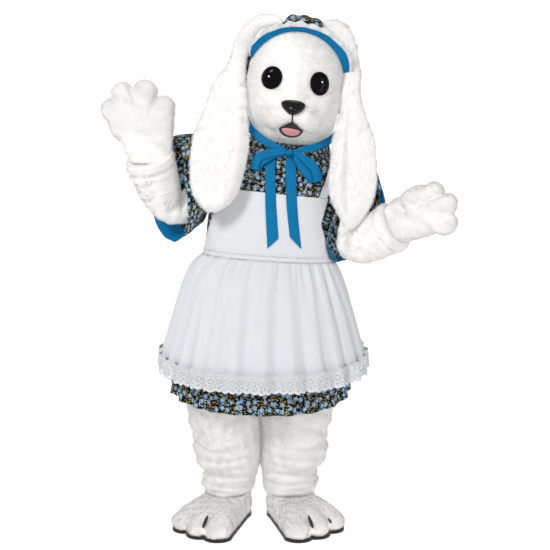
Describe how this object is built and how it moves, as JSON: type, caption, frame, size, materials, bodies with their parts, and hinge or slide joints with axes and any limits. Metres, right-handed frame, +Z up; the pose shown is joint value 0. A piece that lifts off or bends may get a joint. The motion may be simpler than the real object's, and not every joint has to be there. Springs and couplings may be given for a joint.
{
  "type": "rabbit costume",
  "caption": "Full-body plush rabbit costume, worn and hollow, with lop ears, bonnet, calico dress, white bib apron with lace edge, mitts and feet.",
  "frame": {"origin": "the point between the wearer's shoulders, where the worn costume is held up", "axes": "+Z up, the front towards -Y, the wearer's left towards +X"},
  "size_m": [1.2263, 0.6518, 1.8451],
  "materials": {
    "fur_white": "short plush fur",
    "calico": "printed cotton calico",
    "apron_white": "plain woven cotton and cotton lace",
    "ribbon_blue": "satin and plain cotton",
    "gloss_black": "polished, domed",
    "dark_felt": "felt",
    "tongue_pink": "felt"
  },
  "bodies": {
    "root": {"apron_bib": "apron_white", "apron_lace": "apron_white", "apron_skirt": "apron_white", "apron_strap_left": "apron_white", "apron_strap_right": "apron_white", "apron_tie_knot": "apron_white", "apron_tie_loop_left": "apron_white", "apron_tie_loop_right": "apron_white", "apron_tie_tail_left": "apron_white", "apron_tie_tail_right": "apron_white", "apron_waistband": "apron_white", "bodice_back": "calico", "bodice_front": "calico", "bonnet_brim_lining": "ribbon_blue", "bonnet_crown": "calico", "bonnet_frill": "apron_white", "ear_left": "fur_white", "ear_right": "fur_white", "eye_left": "gloss_black", "eye_right": "gloss_black", "foot_left": "fur_white", "foot_right": "fur_white", "head_shell": "fur_white", "mitt_left": "fur_white", "mitt_right": "fur_white", "mouth_lining": "dark_felt", "nose": "gloss_black", "ribbon_band_left": "ribbon_blue", "ribbon_band_right": "ribbon_blue", "ribbon_knot": "ribbon_blue", "ribbon_loop_left": "ribbon_blue", "ribbon_loop_right": "ribbon_blue", "ribbon_tail_left": "ribbon_blue", "ribbon_tail_right": "ribbon_blue", "skirt_back": "calico", "skirt_front": "calico", "sleeve_facing_left": "ribbon_blue", "sleeve_facing_right": "ribbon_blue", "sleeve_left": "calico", "sleeve_right": "calico", "sole_left": "dark_felt", "sole_right": "dark_felt", "suit_arm_left": "fur_white", "suit_arm_right": "fur_white", "suit_back": "fur_white", "suit_front": "fur_white", "suit_leg_left": "fur_white", "suit_leg_right": "fur_white", "toe_slit_left_1": "dark_felt", "toe_slit_left_2": "dark_felt", "toe_slit_right_1": "dark_felt", "tongue": "tongue_pink"}
  },
  "joints": []
}
